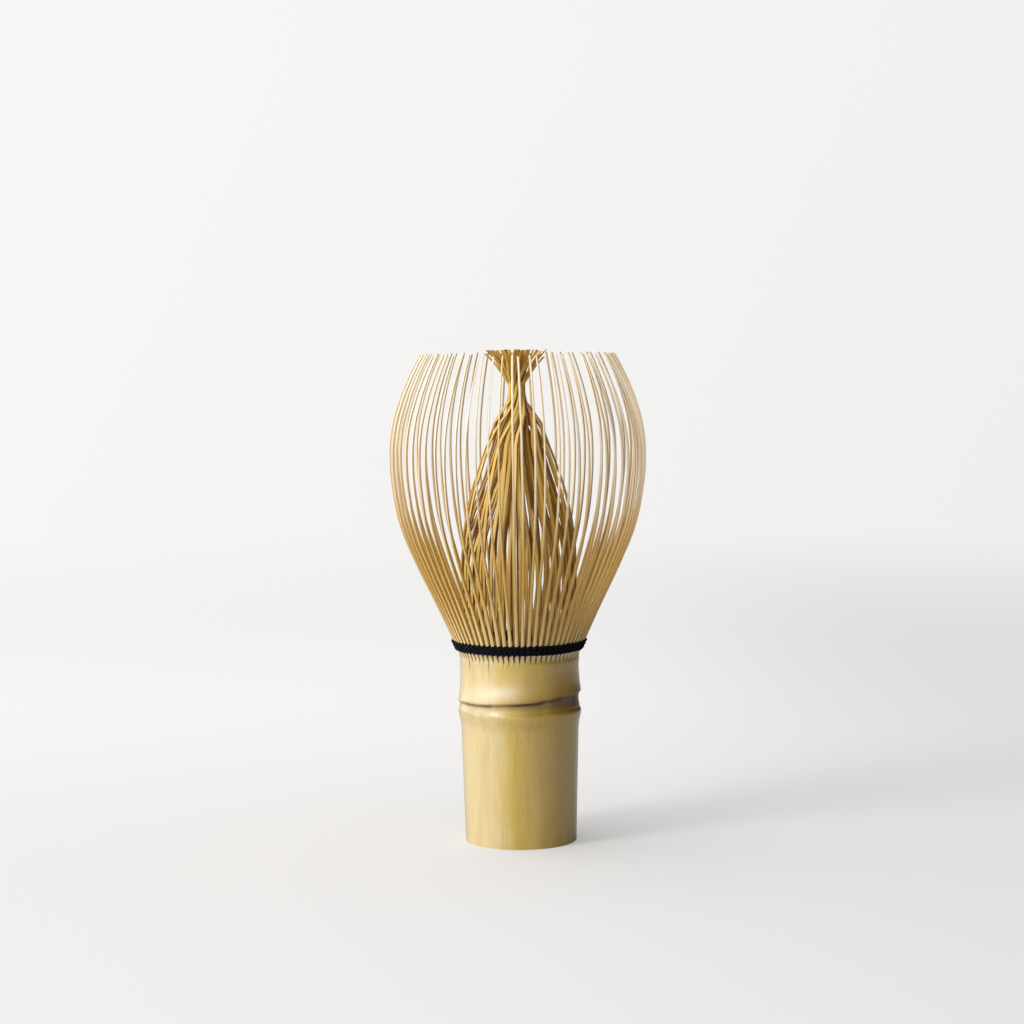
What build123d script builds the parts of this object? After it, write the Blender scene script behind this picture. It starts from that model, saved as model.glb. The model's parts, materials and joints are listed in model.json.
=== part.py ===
from build123d import *
import os
from math import cos, pi, radians, sin, tan

# A bamboo tea whisk, standing on its handle with the tines up. Millimetres, +Z up along the culm,
# origin at the middle of the foot. The culm is one cane with a node near its top. Above the node its
# wall is split into outer and inner strips in turn: the outer ones are pared and bent into the cage of
# tines, the inner ones are gathered and twisted into the sheaf in the middle, and a thread twined in
# rows round the outer ones holds the two sets apart. An outer tine springs at its root, just above
# the thread, so it is a piece of its own from there, with a round root on the tooth that bears it.

# ---- Culm: the cane grows as one, so its outside is set off from its radius at the comb ----
COMB_RADIUS = 14.05          # outside of the cane at the bottom of the slits
COMB_HEIGHT = 43.2
COMB_WALL = 1.55             # wall of the cane there, pared from inside
FOOT_NARROWER = 0.9          # comb's outside to the foot's
FOOT_WALL = 3.65
FOOT_CHAMFER = 0.35
BARREL_NARROWER = 0.2        # comb's outside to the top of the straight grip
BARREL_HEIGHT = 25.0
NODE_HEIGHT = 33.2           # the scar of the node
NODE_WIDER = 0.5             # comb's outside to the two swellings beside the scar
SWELLING_BELOW = 2.4         # scar to the lower swelling
SWELLING_ABOVE = 2.4         # scar to the upper swelling
SCAR_DEPTH = 0.18
DIAPHRAGM_THICKNESS = 1.8    # the cane's own cross wall at the node
CUP_NARROWER = 1.9           # comb's bore to the hollow just above the cross wall
WAIST_NARROWER = 0.1         # comb's outside to the waist between node and comb
WAIST_BELOW_COMB = 2.4

# ---- Splitting ----
TINES = 70                   # outer tines, and as many inner ones
TINES_PER_PAIR = 2           # neighbours that spring together
SLIT_WIDTH = 0.55
SPLIT_CLEARANCE = 0.03       # each side of a strip or a thread that lies in a slit

# ---- Binding ----
THREAD_DIAMETER = 0.65
ROW_NAMES = ["first", "second", "third"]
ROW_GAP = 0.07               # between rows
SLIT_BELOW_BINDING = 1.9     # open slit between its bottom and the first row
BINDING_TO_ROOT = 0.4        # last row to the pivot of the tines
THREAD_CLEARANCE = 0.03      # thread to the teeth it runs round
KNOT_RADIUS = 0.7
KNOT_SINK = 0.12             # how far the knot is drawn into the last row
KNOT_TAIL = 2.6
KNOT_ANGLE = 90.0            # at the back

# ---- Outer tines ----
OVERALL_HEIGHT = 115.0
ROOT_BEYOND_COMB = 1.05      # comb's outside to the middle of a tine at its pivot
ROOT_LEAN = 24.5             # degrees outwards at the root
ROOT_THICKNESS = 0.84
ROOT_CLEARANCE = 0.05        # round root to the tooth
TIP_THICKNESS = 0.3
TIP_WIDTH = 0.42
SHOULDER_SPREAD = 8.6        # pivot outwards to where the straight root turns into the bow
SHOULDER_RISE = 18.8         # pivot up to the same
SHOULDER_LEAN = 23.0
CAGE_SPREAD = 14.58          # pivot outwards to where the cage is widest
CAGE_RISE = 42.4
TIP_SPREAD = 7.4             # pivot outwards to the tip
TIP_LEAN = -27.0             # inwards

# ---- Inner tines ----
INNER_ROOT_OFFSET = 0.35     # comb's bore to the middle of an inner tine
INNER_ROOT_THICKNESS = 0.5
INNER_TIP_THICKNESS = 0.24
INNER_TIP_WIDTH = 0.18
INNER_GAP = 0.1              # inner tines to the thread around them
BELLY_NARROWER = 0.15        # an inner tine at the comb to the fullest place of the sheaf
BELLY_RISE = 26.0            # comb to the same
NECK_RADIUS = 2.4            # outermost layer where the sheaf is drawn tight
NECK_BELOW_TIP = 8.3
NECK_LAYER_STEP = 0.72       # between layers
SHEAF_RADIUS = 7.0           # outermost layer at the tips
SHEAF_LAYER_STEP = 2.4
SHEAF_LEAN = 35.0            # degrees outwards at the tips
INNER_TWIST = 110.0          # degrees, root to tip
TWIST_START = 0.7            # share of the height where the twist sets in, to end at the tips
INNER_SECTIONS = 16
ROOT_CROWDING = 1.3          # above 1, the sections stand closer together at the root
# Layer of each tine of a group, 0 outside: no two neighbours share one.
LAYER_PATTERN = [0, 1, 2, 0, 1, 0, 2, 1, 0, 1]

# ---- Worked out from the above ----
FOOT_RADIUS = COMB_RADIUS - FOOT_NARROWER
BORE_RADIUS = FOOT_RADIUS - FOOT_WALL
BARREL_RADIUS = COMB_RADIUS - BARREL_NARROWER
NODE_RADIUS = COMB_RADIUS + NODE_WIDER
WAIST_RADIUS = COMB_RADIUS - WAIST_NARROWER
COMB_BORE = COMB_RADIUS - COMB_WALL
CUP_RADIUS = COMB_BORE - CUP_NARROWER
INNER_ROOT_RADIUS = COMB_BORE + INNER_ROOT_OFFSET
BELLY_RADIUS = INNER_ROOT_RADIUS - BELLY_NARROWER
STEP_ANGLE = 360.0 / TINES
TINE_ANGLES = [(tine - (TINES_PER_PAIR - 1) / 2) * STEP_ANGLE for tine in range(TINES_PER_PAIR)]
ROW_PITCH = THREAD_DIAMETER + ROW_GAP
FIRST_ROW_HEIGHT = COMB_HEIGHT + SLIT_BELOW_BINDING + THREAD_DIAMETER / 2
LAST_ROW_HEIGHT = FIRST_ROW_HEIGHT + (len(ROW_NAMES) - 1) * ROW_PITCH
ROOT_HEIGHT = LAST_ROW_HEIGHT + THREAD_DIAMETER / 2 + BINDING_TO_ROOT
ROOT_RADIUS = COMB_RADIUS + ROOT_BEYOND_COMB
ROOT_WIDTH = 2 * pi * ROOT_RADIUS / TINES - SLIT_WIDTH
LAID_WIDTH = SLIT_WIDTH - 2 * SPLIT_CLEARANCE
ROW_REACH = ROOT_THICKNESS / 2 + THREAD_CLEARANCE + THREAD_DIAMETER / 2
INNER_GROUPS = TINES // len(LAYER_PATTERN)
FREE_LENGTH = OVERALL_HEIGHT - ROOT_HEIGHT


def leaning(degrees):
    """Unit vector up a tine that leans out from the axis, in the XZ plane."""
    return Vector(sin(radians(degrees)), cos(radians(degrees)))


def outward(degrees):
    """Unit vector square to a leaning tine, away from the axis, in the XZ plane."""
    return Vector(cos(radians(degrees)), -sin(radians(degrees)))


def tooth_radius(height, offset=0.0):
    """Radius of the straight teeth's middle surface at a height, or of a surface beside it."""
    lean = radians(ROOT_LEAN)
    return ROOT_RADIUS + (height - ROOT_HEIGHT) * tan(lean) + offset / cos(lean)


def write(builder, name):
    """Labels a finished piece and writes its STEP file."""
    builder.part.label = name
    export_step(builder.part, f"parts/{name}.step")


os.makedirs("parts", exist_ok=True)

# The culm: hollow below its node, with a cross wall there, a cup above it, and a rim that leans out
# and is cut by the slits into the teeth that bear the outer tines.
ROOT = Vector(ROOT_RADIUS, ROOT_HEIGHT)
TOOTH_TOP = ROOT - leaning(ROOT_LEAN) * (ROOT_THICKNESS / 2 + ROOT_CLEARANCE)
TOOTH_SIDE = outward(ROOT_LEAN) * (ROOT_THICKNESS / 2)
STRAIGHT_HEIGHT = FIRST_ROW_HEIGHT - ROW_PITCH / 2
WALL_TOP = NODE_HEIGHT + DIAPHRAGM_THICKNESS / 2
WALL_BOTTOM = NODE_HEIGHT - DIAPHRAGM_THICKNESS / 2
with BuildPart() as culm:
    with BuildSketch(Plane.XZ):
        with BuildLine():
            barrel = Line((FOOT_RADIUS, 0), (BARREL_RADIUS, BARREL_HEIGHT))
            lower_swelling = (NODE_RADIUS, NODE_HEIGHT - SWELLING_BELOW)
            upper_swelling = (NODE_RADIUS, NODE_HEIGHT + SWELLING_ABOVE)
            scar = (NODE_RADIUS - SCAR_DEPTH, NODE_HEIGHT)
            Spline(barrel @ 1, lower_swelling, tangents=[barrel % 1, (0, 1)])
            Spline(lower_swelling, scar, upper_swelling, tangents=[(0, 1), (0, 1)])
            waist = (WAIST_RADIUS, COMB_HEIGHT - WAIST_BELOW_COMB)
            straight = (tooth_radius(STRAIGHT_HEIGHT, ROOT_THICKNESS / 2), STRAIGHT_HEIGHT)
            Spline(upper_swelling, waist, tangents=[(0, 1), (0, 1)])
            flare = Spline(
                waist,
                (COMB_RADIUS, COMB_HEIGHT),
                straight,
                tangents=[(0, 1), leaning(ROOT_LEAN)],
            )
            tooth_inside = (tooth_radius(STRAIGHT_HEIGHT, -ROOT_THICKNESS / 2), STRAIGHT_HEIGHT)
            Polyline(
                flare @ 1,
                TOOTH_TOP + TOOTH_SIDE,
                TOOTH_TOP - TOOTH_SIDE,
                tooth_inside,
                (COMB_BORE, COMB_HEIGHT),
                (CUP_RADIUS, WALL_TOP),
                (0, WALL_TOP),
                (0, WALL_BOTTOM),
                (BORE_RADIUS, WALL_BOTTOM),
                (BORE_RADIUS, 0),
                barrel @ 0,
            )
        make_face()
    revolve(axis=Axis.Z)
    chamfer(edges().group_by(Axis.Z)[0], FOOT_CHAMFER)
    with BuildSketch(Plane.XY.offset(COMB_HEIGHT)):
        SLIT_LENGTH = ROOT_RADIUS + ROOT_THICKNESS - COMB_BORE
        with PolarLocations(COMB_BORE + SLIT_LENGTH / 2, TINES, start_angle=STEP_ANGLE / 2):
            Rectangle(2 * SLIT_LENGTH, SLIT_WIDTH)
    extrude(amount=ROOT_HEIGHT - COMB_HEIGHT, mode=Mode.SUBTRACT)
write(culm, "culm_handle")

# The binding: each row runs round outside and inside the teeth and crosses in every slit.
for row, row_name in enumerate(ROW_NAMES):
    row_height = FIRST_ROW_HEIGHT + row * ROW_PITCH
    outside = tooth_radius(row_height, ROW_REACH)
    inside = tooth_radius(row_height, -ROW_REACH)
    with BuildPart() as thread_row:
        with BuildSketch(Plane.XZ):
            with Locations((outside, row_height), (inside, row_height)):
                Circle(THREAD_DIAMETER / 2)
        revolve(axis=Axis.Z)
        with BuildSketch(Plane.XY.offset(row_height)):
            with PolarLocations((outside + inside) / 2, TINES, start_angle=STEP_ANGLE / 2):
                Rectangle(outside - inside, LAID_WIDTH)
        extrude(amount=LAID_WIDTH / 2, both=True)
    write(thread_row, f"thread_{row_name}_row")

# The knot sits on the last row, and its two cut ends hang down.
KNOT_CENTRE = tooth_radius(LAST_ROW_HEIGHT, ROW_REACH) + THREAD_DIAMETER / 2 + KNOT_RADIUS - KNOT_SINK
knot_plane = Plane.XY.offset(LAST_ROW_HEIGHT).rotated((0, 0, KNOT_ANGLE))
with BuildPart(knot_plane) as knot:
    with Locations((KNOT_CENTRE, 0)):
        Sphere(KNOT_RADIUS)
    with Locations((KNOT_CENTRE, KNOT_RADIUS / 2), (KNOT_CENTRE, -KNOT_RADIUS / 2)):
        Cylinder(THREAD_DIAMETER / 2, KNOT_TAIL, align=(Align.CENTER, Align.CENTER, Align.MAX))
write(knot, "thread_knot")

# A pair of outer tines, either side of the XZ plane: round roots on the axis that they spring about, a
# straight shank each, then a bow that ends in a level cut.
PIVOT = Vector(ROOT_RADIUS * cos(radians(TINE_ANGLES[-1])), ROOT_HEIGHT)


def bow_face(side):
    """Points of a pair's outer (1) or inner (-1) face, from its root to its tip."""
    points = [PIVOT + TOOTH_SIDE * side]
    for spread, rise, lean in [(SHOULDER_SPREAD, SHOULDER_RISE, SHOULDER_LEAN), (CAGE_SPREAD, CAGE_RISE, 0)]:
        thickness = ROOT_THICKNESS + (TIP_THICKNESS - ROOT_THICKNESS) * rise / FREE_LENGTH
        points.append(PIVOT + Vector(spread, rise) + outward(lean) * (side * thickness / 2))
    tip_half = TIP_THICKNESS / 2 / cos(radians(TIP_LEAN))
    points.append(PIVOT + Vector(TIP_SPREAD + side * tip_half, FREE_LENGTH))
    return points


with BuildPart() as tine_pair:
    # Each tine is pared on both sides, from the full tooth at the root to a thin tip.
    for tine_angle in TINE_ANGLES:
        with BuildSketch(Plane.YZ.rotated((0, 0, tine_angle))):
            with BuildLine():
                Polyline(
                    (-ROOT_WIDTH / 2, ROOT_HEIGHT - ROOT_THICKNESS),
                    (ROOT_WIDTH / 2, ROOT_HEIGHT - ROOT_THICKNESS),
                    (ROOT_WIDTH / 2, ROOT_HEIGHT),
                    (TIP_WIDTH / 2, OVERALL_HEIGHT),
                    (-TIP_WIDTH / 2, OVERALL_HEIGHT),
                    (-ROOT_WIDTH / 2, ROOT_HEIGHT),
                    close=True,
                )
            make_face()
    extrude(amount=2 * (PIVOT.X + CAGE_SPREAD))
    with BuildSketch(Plane.XZ):
        with BuildLine():
            bow_ends = [leaning(ROOT_LEAN), leaning(TIP_LEAN)]
            outer_face = Spline(*bow_face(1), tangents=bow_ends)
            inner_face = Spline(*bow_face(-1), tangents=bow_ends)
            Line(outer_face @ 1, inner_face @ 1)
            ThreePointArc(inner_face @ 0, PIVOT - leaning(ROOT_LEAN) * (ROOT_THICKNESS / 2), outer_face @ 0)
        make_face()
    extrude(amount=PIVOT.X, both=True, mode=Mode.INTERSECT)

for pair in range(TINES // TINES_PER_PAIR):
    with BuildPart() as placed_pair:
        with PolarLocations(0, 1, start_angle=pair * TINES_PER_PAIR * STEP_ANGLE - TINE_ANGLES[0]):
            add(tine_pair.part)
    write(placed_pair, f"outer_tines_{pair + 1:02d}")

# The inner tines: one of each layer, wound up from the comb in a slit, then copied round. They clear the
# back of the first row from its underside up.
FIRST_ROW_BACK = tooth_radius(FIRST_ROW_HEIGHT, -ROW_REACH) - THREAD_DIAMETER / 2
BINDING_RADIUS = FIRST_ROW_BACK - INNER_GAP - INNER_ROOT_THICKNESS / 2
SHEAF_LENGTH = OVERALL_HEIGHT - COMB_HEIGHT


def twist_at(share):
    """Degrees that an inner tine has turned round the axis, most of them where it is drawn tight."""
    eased = max((share - TWIST_START) / (1 - TWIST_START), 0)
    return INNER_TWIST * eased**2 * (3 - 2 * eased)


layers = []
for layer in range(max(LAYER_PATTERN) + 1):
    comb = (INNER_ROOT_RADIUS, COMB_HEIGHT)
    binding = (BINDING_RADIUS, FIRST_ROW_HEIGHT - THREAD_DIAMETER / 2)
    belly = (BELLY_RADIUS, COMB_HEIGHT + BELLY_RISE)
    neck = (NECK_RADIUS - layer * NECK_LAYER_STEP, OVERALL_HEIGHT - NECK_BELOW_TIP)
    tip = (SHEAF_RADIUS - layer * SHEAF_LAYER_STEP, OVERALL_HEIGHT)
    with BuildLine(Plane.XZ) as middle_line:
        Spline(comb, binding, belly, tangents=[leaning(-ROOT_LEAN), (0, 1)])
        Spline(belly, neck, tangents=[(0, 1), (0, 1)])
        Spline(neck, tip, tangents=[(0, 1), leaning(SHEAF_LEAN)])
    route = middle_line.wires()[0]
    with BuildPart() as inner_tine:
        for section in range(INNER_SECTIONS):
            middle = route @ ((section / (INNER_SECTIONS - 1)) ** ROOT_CROWDING)
            share = (middle.Z - COMB_HEIGHT) / SHEAF_LENGTH
            thickness = INNER_ROOT_THICKNESS + (INNER_TIP_THICKNESS - INNER_ROOT_THICKNESS) * share
            width = LAID_WIDTH + (INNER_TIP_WIDTH - LAID_WIDTH) * share
            turned = Plane.XY.offset(middle.Z).rotated((0, 0, twist_at(share)))
            with BuildSketch(turned):
                with Locations((middle.X, 0)):
                    Rectangle(thickness, width)
        loft()
    layers.append(inner_tine.part)

for group in range(INNER_GROUPS):
    with BuildPart() as inner_group:
        for place, layer in enumerate(LAYER_PATTERN):
            slit = group * len(LAYER_PATTERN) + place + 0.5
            with PolarLocations(0, 1, start_angle=slit * STEP_ANGLE):
                add(layers[layer])
    write(inner_group, f"inner_tines_{group + 1}")
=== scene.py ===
import json
from math import atan2, cos, exp, hypot, pi, radians, sin, tan

import bmesh
import bpy
import numpy as np
from mathutils import Matrix, Vector


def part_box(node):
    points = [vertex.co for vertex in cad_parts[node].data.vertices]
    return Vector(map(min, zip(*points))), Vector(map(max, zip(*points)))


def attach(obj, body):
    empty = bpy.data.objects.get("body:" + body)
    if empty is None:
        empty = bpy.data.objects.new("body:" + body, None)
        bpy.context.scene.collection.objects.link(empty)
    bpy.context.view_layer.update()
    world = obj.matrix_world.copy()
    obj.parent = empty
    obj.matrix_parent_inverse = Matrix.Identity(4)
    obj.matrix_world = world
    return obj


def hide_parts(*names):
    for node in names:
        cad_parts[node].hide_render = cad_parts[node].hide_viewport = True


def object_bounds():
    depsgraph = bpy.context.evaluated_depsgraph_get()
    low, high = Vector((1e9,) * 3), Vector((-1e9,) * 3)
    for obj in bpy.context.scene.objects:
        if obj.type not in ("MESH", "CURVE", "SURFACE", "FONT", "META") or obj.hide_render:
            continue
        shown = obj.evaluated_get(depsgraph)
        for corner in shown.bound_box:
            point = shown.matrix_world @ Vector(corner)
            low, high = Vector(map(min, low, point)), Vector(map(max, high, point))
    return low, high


bl_info = {
    "name": "Tea Whisk",
    "version": (1, 0, 0),
    "blender": (4, 5, 0),
    "location": "View3D > Sidebar > Tea Whisk",
    "description": "Models a bamboo tea whisk: cane grip, sprung cage, twisted sheaf and twined thread",
    "category": "Add Mesh",
}

# Lengths are in metres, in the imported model's own frame: the foot stands at the origin, tines up.
MM = 0.001
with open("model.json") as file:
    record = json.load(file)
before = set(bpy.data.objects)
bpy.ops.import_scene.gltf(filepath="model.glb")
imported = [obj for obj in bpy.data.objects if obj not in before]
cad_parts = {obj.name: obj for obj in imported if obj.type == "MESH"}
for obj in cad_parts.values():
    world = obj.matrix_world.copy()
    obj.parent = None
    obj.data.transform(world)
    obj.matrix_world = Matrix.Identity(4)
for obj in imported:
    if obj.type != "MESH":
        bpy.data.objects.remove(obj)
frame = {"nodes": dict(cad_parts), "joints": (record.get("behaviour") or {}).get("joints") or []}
CAD_LOW, CAD_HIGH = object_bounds()
FLEX_JOINTS = frame["joints"]
PIVOT = Vector(FLEX_JOINTS[0]["pos_m"])
PIVOT_RADIUS = hypot(PIVOT.x, PIVOT.y)
SHEAF_LOW, SHEAF_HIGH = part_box("inner_tines_1")
ROW_NODES = ("thread_first_row", "thread_second_row", "thread_third_row")
SHEAF_NODES = [name for name in sorted(frame["nodes"]) if name.startswith("inner_tines_")]
PAIR_NODES = [name for name in sorted(frame["nodes"]) if name.startswith("outer_tines_")]
PAIR_BODIES = [joint["child"] for joint in FLEX_JOINTS]
TINES_PER_PAIR = 2
TINES = TINES_PER_PAIR * len(PAIR_NODES)
STEP = 2 * pi / TINES
ROOT_LEAN = radians(24.5)


# ---------------------------------------------------------------- settings


def length(name, description, millimetres):
    """A length that the sidebar shows."""
    return bpy.props.FloatProperty(
        name=name, description=description, default=millimetres * MM, unit="LENGTH", precision=5
    )


def share(name, description, value, low=0.0, high=1.0):
    """A plain number between two limits."""
    return bpy.props.FloatProperty(
        name=name, description=description, default=value, min=low, max=high, precision=3
    )


def angle(name, description, value):
    """An angle, given in degrees."""
    return bpy.props.FloatProperty(
        name=name, description=description, default=radians(value), unit="ROTATION"
    )


def whole(name, description, value):
    """A count or a seed."""
    return bpy.props.IntProperty(name=name, description=description, default=value, min=0)


def colour(name, description, red, green, blue):
    """A colour, given as the eye sees it on a 0 to 255 scale."""
    return bpy.props.FloatVectorProperty(
        name=name,
        description=description,
        subtype="COLOR",
        size=3,
        min=0.0,
        max=1.0,
        default=[linear(value / 255) for value in (red, green, blue)],
    )


def linear(value):
    """One channel of a display colour as light."""
    return value / 12.92 if value <= 0.04045 else ((value + 0.055) / 1.055) ** 2.4


class WhiskCaneSettings(bpy.types.PropertyGroup):
    """Sizes of the cane grip and its comb."""

    foot_radius: length("Foot radius", "Outside of the cane where it stands", 13.15)
    barrel_radius: length("Barrel radius", "Outside at the top of the straight grip", 13.85)
    barrel_height: length("Barrel height", "Top of the straight grip", 25.5)
    scar_height: length("Scar height", "The sheath scar, on the axis", 34.4)
    scar_tilt: angle("Scar tilt", "How far the scar rises towards +X", 4.2)
    scar_depth: length("Scar depth", "Depth of the groove under the scar's lip", 0.2)
    swelling: length("Swelling", "How far the node swells past the grip", 0.62)
    waist_radius: length("Waist radius", "Outside between the node and the comb", 13.92)
    waist_height: length("Waist height", "The thinnest place above the node", 41.0)
    comb_height: length("Comb height", "Bottom of most slits", 43.3)
    comb_radius: length("Comb radius", "Outside at the bottom of the slits", 14.1)
    comb_wall: length("Comb wall", "Wall at the bottom of the slits", 1.55)
    tooth_thickness: length("Tooth thickness", "Wall where the thread runs", 0.84)
    slit_width: length("Slit width", "Slit where the thread runs", 0.58)
    tooth_top: length("Tooth top", "Where the fixed teeth end, inside the thread", 46.75)


class WhiskTineSettings(bpy.types.PropertyGroup):
    """Sizes of the outer tines."""

    start_drop: length("Start drop", "How far the tines reach below their pivots", 0.75)
    root_width: length("Root width", "Width at the thread", 0.8)
    tip_width: length("Tip width", "Width at the tip", 0.37)
    root_thickness: length("Root thickness", "Radial thickness at the thread", 0.9)
    tip_thickness: length("Tip thickness", "Radial thickness at the tip", 0.3)
    crown: length("Crown", "How far the skin side bulges", 0.07)
    wander: length("Wander", "Sideways drift of a tip", 0.43)
    pairing: length("Pairing", "How far a tip leans towards its partner's, away from the next pair", 0.27)
    sway: length("Sway", "Sideways bow half way up", 0.34)
    spread: length("Spread", "Radial drift of a tip", 0.7)
    uneven_tips: length("Uneven tips", "How far a tip may stop short", 0.5)
    turn: angle("Turn", "Most that a strip turns about itself", 26.0)
    seed: whole("Seed", "Chooses the unevenness", 7)


class WhiskSheafSettings(bpy.types.PropertyGroup):
    """Sizes of the inner tines."""

    root_radius: length("Root radius", "Middle of a strip at the comb", 12.85)
    start_drop: length("Start drop", "How far the strips reach into the comb", 0.3)
    root_width: length("Root width", "Width between two teeth", 0.5)
    full_width: length("Full width", "Width in the belly", 0.82)
    root_thickness: length("Root thickness", "Radial thickness at the comb", 0.5)
    tip_thickness: length("Tip thickness", "Radial thickness at the tip", 0.24)
    crown: length("Crown", "How far the skin side bulges", 0.04)
    twist: angle("Twist", "Turn of the whole sheaf, root to tip", 110.0)
    wander: length("Wander", "Sideways drift of a tip", 1.2)
    sway: length("Sway", "Sideways bow half way up", 1.1)
    spread: length("Spread", "Radial drift of a tip", 1.6)
    uneven_tips: length("Uneven tips", "How far a tip may stop short", 2.2)
    turn: angle("Turn", "Most that a strip turns about itself", 50.0)
    layer_share: share("Layer share", "How much nearer the axis each layer lies", 0.3)
    overshoot: length("Overshoot", "How far the longest tips pass the cage's", 0.9)
    seed: whole("Seed", "Chooses the unevenness", 3)


class WhiskThreadSettings(bpy.types.PropertyGroup):
    """Sizes of the twined thread."""

    radius: length("Radius", "Half the thickness of a strand", 0.38)
    row_pitch: length("Row pitch", "Height from row to row", 0.78)
    lift: length("Lift", "How far the rows are pushed up the teeth", 0.6)
    ply_depth: share("Ply depth", "How deep the groove between two plies is", 0.16)
    ply_pitch: length("Ply pitch", "One turn of the plies", 2.1)
    knot_radius: length("Knot radius", "Half the width of the knot", 0.8)
    tail: length("Tail", "Length of a cut end", 3.0)


class WhiskColours(bpy.types.PropertyGroup):
    """Colours of the bamboo, the thread and the floor."""

    skin: colour("Skin", "Cane skin", 204, 174, 62)
    skin_pale: colour("Pale skin", "Bleached patches of the skin", 218, 190, 124)
    # Olive skin, which is also painted on the right of the cane as shade, away from the key light.
    olive_skin_and_shade: colour("Olive skin", "Green and brown left in the skin", 158, 120, 48)
    # A painted sheen: the left of the cane, where the key light reflects, made paler in its colour.
    painted_sheen: colour("Painted sheen side", "Painted sheen where the key light reflects on the left of the cane", 225, 206, 162)
    # Pale wax beside the node, which the cane mostly shows as a painted highlight on the front left, facing
    # the key light.
    bloom_and_highlight: colour("Bloom", "Pale wax beside the node", 238, 224, 188)
    # The scar colour also paints dark specks, and the painted shade beside the scar on the right of the cane.
    scar: colour("Scar", "The dark line of the node", 84, 50, 28)
    pith: colour("Pith", "Wood inside the cane", 226, 204, 156)
    pared: colour("Pared", "Freshly pared bamboo", 230, 208, 160)
    tine: colour("Tine", "Outer tines near the root", 246, 224, 166)
    tine_tip: colour("Tine tip", "Outer tines near the tip", 252, 242, 220)
    # The side colours paint the split sides and the edges of the strips: partly the wood's own colour, partly
    # painted shade.
    tine_golden: colour("Golden tine", "Outer tines that keep some skin", 222, 188, 104)
    tine_side: colour("Tine side", "Split sides of the outer tines near the root", 206, 166, 92)
    tine_side_tip: colour("Tine side tip", "Split sides near the tip", 228, 208, 176)
    strip: colour("Strip", "Inner tines", 212, 166, 88)
    strip_tip: colour("Strip tip", "Inner tines near the tip", 232, 196, 88)
    strip_golden: colour("Golden strip", "Inner tines that keep some skin", 218, 182, 84)
    # The side colours paint the split sides and the edges of the strips: partly the wood's own colour, partly
    # painted shade.
    strip_side: colour("Strip side", "Split sides of the inner tines", 136, 92, 52)
    strip_side_tip: colour("Strip side tip", "Split sides near the tip", 172, 126, 56)
    thread: colour("Thread", "Cotton", 10, 12, 20)
    floor: colour("Floor", "Floor near the whisk", 197, 196, 196)
    floor_far: colour("Floor far", "Floor behind the whisk", 214, 214, 214)
    backdrop_low: colour("Backdrop low", "Backdrop below the horizon", 246, 245, 243)
    backdrop_high: colour("Backdrop high", "Backdrop above the horizon", 249, 248, 247)


class WhiskStageSettings(bpy.types.PropertyGroup):
    """The floor, the lights and the camera."""

    camera_distance: length("Camera distance", "Camera to the whisk's axis", 590.0)
    camera_height: length("Camera height", "Camera above the floor", 124.0)
    camera_offset: length("Camera offset", "Camera to the left of the axis", 1.4)
    camera_pitch: angle("Camera pitch", "How far the camera looks down", 4.48)
    camera_roll: angle("Camera roll", "How far the camera is turned about its own line of sight", 0.6)
    focal_length: bpy.props.FloatProperty(name="Focal length", description="In millimetres", default=88.5)
    floor_radius: length("Floor radius", "Edge of the floor", 900.0)
    fade_start: length("Fade start", "Where the floor starts to melt into the backdrop", 260.0)
    key_power: bpy.props.FloatProperty(name="Key power", description="Watts of the key light", default=4.8)
    key_size: length("Key size", "Side of the square key light", 260.0)
    left_light: share("Left light", "Strength of the surroundings on the left", 1.8, high=5.0)
    right_light: share("Right light", "Strength of the surroundings on the right", 0.05, high=5.0)
    overhead_light: share("Overhead light", "Strength of the surroundings overhead", 1.3, high=5.0)
    under_light: share("Under light", "Share of that light that comes from below the horizon", 0.35)
    backdrop_falloff: share("Backdrop falloff", "Backdrop on the right against the left", 0.93)
    floor_falloff: share("Floor falloff", "Floor on the far right against the left", 0.92)
    floor_glow: share("Floor glow", "Share of the floor's brightness that the shadow leaves alone", 0.3)
    floor_bounce: share("Floor bounce", "Share of its light that the floor throws back at the whisk", 0.6)


# ---------------------------------------------------------------- node helpers


def feed(tree, socket, value):
    """Links a socket, or sets its value."""
    if isinstance(value, bpy.types.NodeSocket):
        tree.links.new(value, socket)
    else:
        socket.default_value = value


def node(tree, kind, inputs=None, **settings):
    """Adds one node, with its settings and what goes into it."""
    made = tree.nodes.new(kind)
    for name, value in settings.items():
        setattr(made, name, value)
    for key, value in (inputs or {}).items():
        feed(tree, made.inputs[key], value)
    return made


def calc(tree, operation, *values):
    """One step of arithmetic."""
    made = tree.nodes.new("ShaderNodeMath")
    made.operation = operation
    for socket, value in zip(made.inputs, values):
        feed(tree, socket, value)
    return made.outputs[0]


def total(tree, *values):
    """The sum of several numbers."""
    result = values[0]
    for value in values[1:]:
        result = calc(tree, "ADD", result, value)
    return result


def product(tree, *values):
    """The product of several numbers."""
    result = values[0]
    for value in values[1:]:
        result = calc(tree, "MULTIPLY", result, value)
    return result


def ramp(tree, value, low, high, to_low=0.0, to_high=1.0, eased=False):
    """A number taken from one range to another, and held at its ends."""
    made = node(tree, "ShaderNodeMapRange", {0: value, 1: low, 2: high, 3: to_low, 4: to_high}, clamp=True)
    if eased:
        made.interpolation_type = "SMOOTHSTEP"
    return made.outputs[0]


def blend_colour(tree, amount, first, second):
    """Two colours mixed."""
    made = node(tree, "ShaderNodeMix", {0: amount, 6: first, 7: second}, data_type="RGBA")
    return made.outputs[2]


def solid(values):
    """A colour setting as a colour with full alpha."""
    return (*values, 1.0)


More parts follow.
